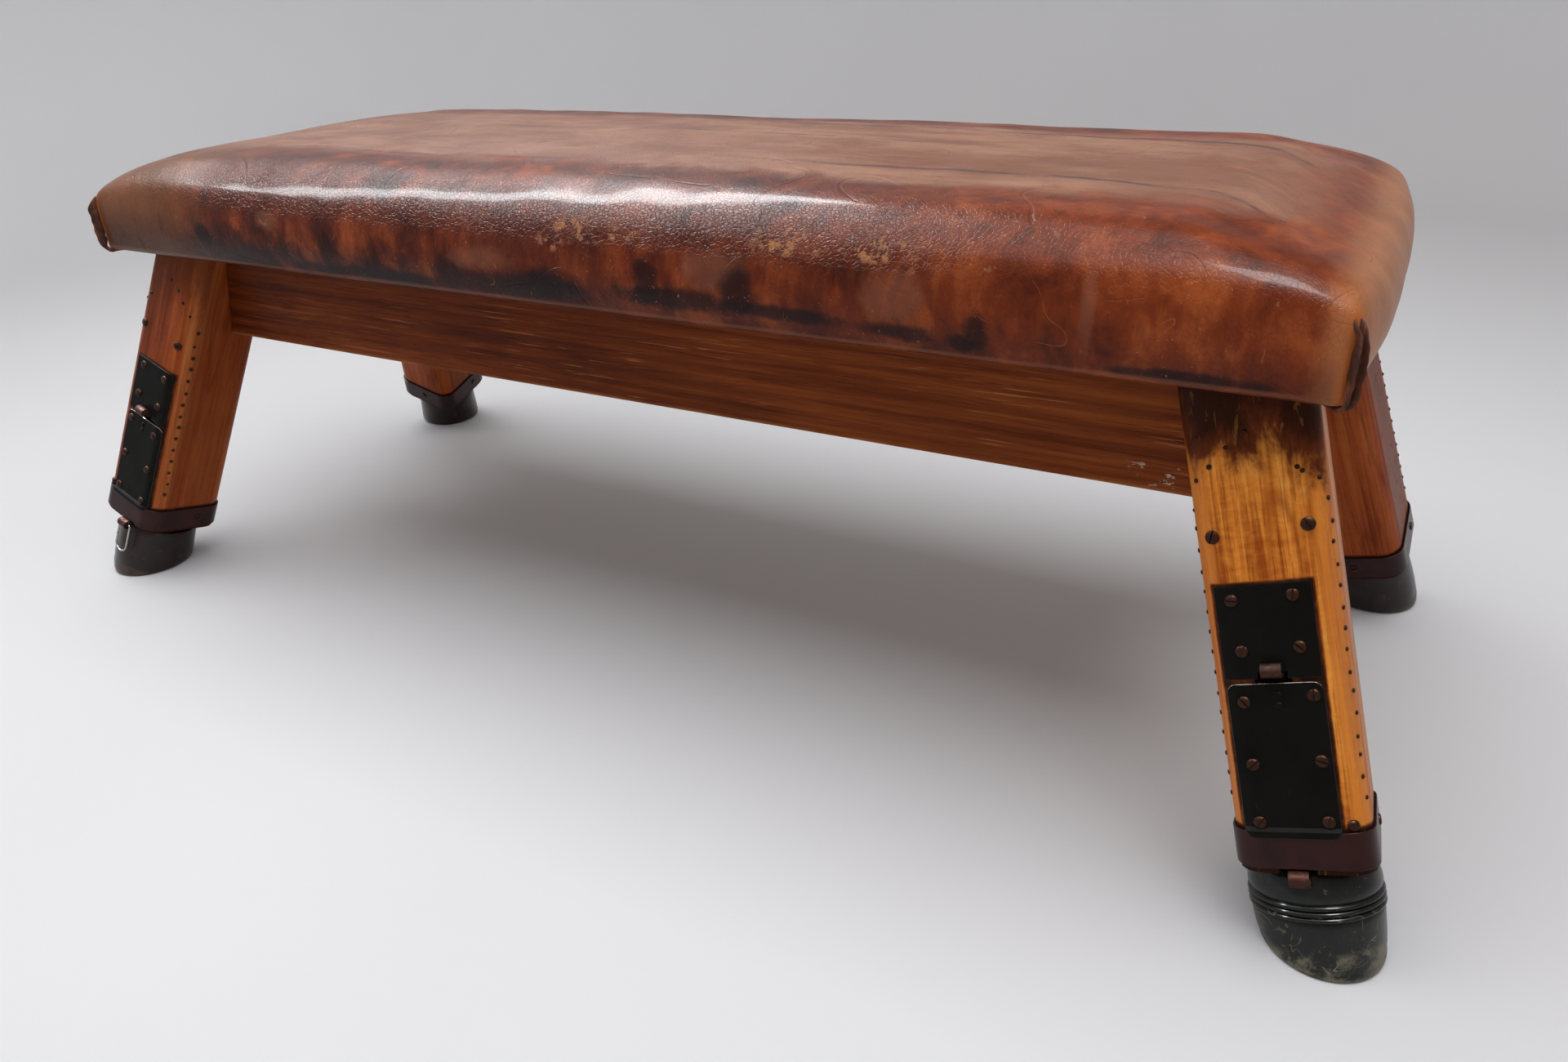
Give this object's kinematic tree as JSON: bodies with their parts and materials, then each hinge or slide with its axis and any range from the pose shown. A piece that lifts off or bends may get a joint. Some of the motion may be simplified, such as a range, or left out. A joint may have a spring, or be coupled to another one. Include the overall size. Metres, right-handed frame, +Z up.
{
  "type": "low leather-topped gymnastics horse",
  "caption": "Low vaulting horse or gym bench: crowned leather-covered padded top on a wooden frame, splayed box legs with telescoping posts, spring latches and rubber feet.",
  "frame": {"origin": "on the floor, under the middle of the padded top", "axes": "+X along the length of the padded top, +Y across it towards the back, +Z up"},
  "size_m": [1.7362, 0.7452, 0.5971],
  "materials": {
    "leather": "aged glossy",
    "filling": "horsehair and felt",
    "deck_wood": "raw",
    "rail_wood": "worn satin varnish",
    "honey_wood": "satin varnish",
    "red_wood": "satin varnish",
    "post_wood": "waxed",
    "plate_steel": "black lacquer",
    "band_steel": "dark brown lacquer",
    "lever_steel": "browned",
    "pin_steel": "satin",
    "spring_steel": "satin",
    "ring_wire": "polished by use",
    "ridged_rubber": "scuffed",
    "cup_rubber": "smooth"
  },
  "bodies": {
    "frame": {"leather_cover": "leather", "pad_filling": "filling", "deck_board": "deck_wood", "deck_batten_left": "deck_wood", "deck_batten_right": "deck_wood", "long_rail_front": "rail_wood", "long_rail_back": "rail_wood", "end_rail_left": "rail_wood", "end_rail_right": "rail_wood", "front_left_face_board": "red_wood", "front_left_back_board": "red_wood", "front_left_end_board": "red_wood", "front_left_rail_board": "red_wood", "front_left_band": "band_steel", "front_left_upper_plate": "plate_steel", "front_left_lower_plate": "plate_steel", "front_left_latch_spring": "spring_steel", "front_right_face_board": "honey_wood", "front_right_back_board": "honey_wood", "front_right_end_board": "honey_wood", "front_right_rail_board": "honey_wood", "front_right_band": "band_steel", "front_right_upper_plate": "plate_steel", "front_right_lower_plate": "plate_steel", "front_right_latch_spring": "spring_steel", "back_left_face_board": "red_wood", "back_left_back_board": "red_wood", "back_left_end_board": "red_wood", "back_left_rail_board": "red_wood", "back_left_band": "band_steel", "back_left_upper_plate": "plate_steel", "back_left_lower_plate": "plate_steel", "back_left_latch_spring": "spring_steel", "back_right_face_board": "red_wood", "back_right_back_board": "red_wood", "back_right_end_board": "red_wood", "back_right_rail_board": "red_wood", "back_right_band": "band_steel", "back_right_upper_plate": "plate_steel", "back_right_lower_plate": "plate_steel", "back_right_latch_spring": "spring_steel"},
    "front_left_sliding_leg": {"front_left_post": "post_wood", "front_left_foot": "cup_rubber"},
    "front_left_latch": {"front_left_latch_lever": "lever_steel", "front_left_latch_pin": "pin_steel"},
    "front_left_ring": {"front_left_pull_ring": "ring_wire"},
    "front_right_sliding_leg": {"front_right_post": "post_wood", "front_right_foot": "ridged_rubber"},
    "front_right_latch": {"front_right_latch_lever": "lever_steel", "front_right_latch_pin": "pin_steel"},
    "back_left_sliding_leg": {"back_left_post": "post_wood", "back_left_foot": "cup_rubber"},
    "back_left_latch": {"back_left_latch_lever": "lever_steel", "back_left_latch_pin": "pin_steel"},
    "back_left_ring": {"back_left_pull_ring": "ring_wire"},
    "back_right_sliding_leg": {"back_right_post": "post_wood", "back_right_foot": "cup_rubber"},
    "back_right_latch": {"back_right_latch_lever": "lever_steel", "back_right_latch_pin": "pin_steel"},
    "back_right_ring": {"back_right_pull_ring": "ring_wire"}
  },
  "joints": [
    {"name": "front_left_leg_slide", "type": "slide", "parent": "frame", "child": "front_left_sliding_leg", "axis": [-0.297, -0.2902, -0.9097], "range_m": [0, 0.18]},
    {"name": "front_left_latch_pull", "type": "hinge", "parent": "frame", "child": "front_left_latch", "pos_m": [-0.73568, -0.31042, 0.25147], "axis": [-0.9549, 0.0902, 0.2829], "range_deg": [0, 3.5], "stiffness_Nm_per_rad": 2, "springref_deg": -5.73},
    {"name": "front_left_ring_swing", "type": "hinge", "parent": "front_left_latch", "child": "front_left_ring", "pos_m": [-0.78886, -0.3561, 0.08653], "axis": [-0.9549, 0.0902, 0.2829], "range_deg": [0, 95]},
    {"name": "front_right_leg_slide", "type": "slide", "parent": "frame", "child": "front_right_sliding_leg", "axis": [0.297, -0.2902, -0.9097], "range_m": [0, 0.18]},
    {"name": "front_right_latch_pull", "type": "hinge", "parent": "frame", "child": "front_right_latch", "pos_m": [0.73568, -0.31042, 0.25147], "axis": [-0.9549, -0.0902, -0.2829], "range_deg": [0, 3.5], "stiffness_Nm_per_rad": 2, "springref_deg": -5.73},
    {"name": "back_left_leg_slide", "type": "slide", "parent": "frame", "child": "back_left_sliding_leg", "axis": [-0.297, 0.2902, -0.9097], "range_m": [0, 0.18]},
    {"name": "back_left_latch_pull", "type": "hinge", "parent": "frame", "child": "back_left_latch", "pos_m": [-0.73568, 0.31042, 0.25147], "axis": [0.9549, 0.0902, -0.2829], "range_deg": [0, 3.5], "stiffness_Nm_per_rad": 2, "springref_deg": -5.73},
    {"name": "back_left_ring_swing", "type": "hinge", "parent": "back_left_latch", "child": "back_left_ring", "pos_m": [-0.78886, 0.3561, 0.08653], "axis": [0.9549, 0.0902, -0.2829], "range_deg": [0, 95]},
    {"name": "back_right_leg_slide", "type": "slide", "parent": "frame", "child": "back_right_sliding_leg", "axis": [0.297, 0.2902, -0.9097], "range_m": [0, 0.18]},
    {"name": "back_right_latch_pull", "type": "hinge", "parent": "frame", "child": "back_right_latch", "pos_m": [0.73568, 0.31042, 0.25147], "axis": [0.9549, -0.0902, 0.2829], "range_deg": [0, 3.5], "stiffness_Nm_per_rad": 2, "springref_deg": -5.73},
    {"name": "back_right_ring_swing", "type": "hinge", "parent": "back_right_latch", "child": "back_right_ring", "pos_m": [0.78886, 0.3561, 0.08653], "axis": [0.9549, -0.0902, 0.2829], "range_deg": [0, 95]}
  ]
}
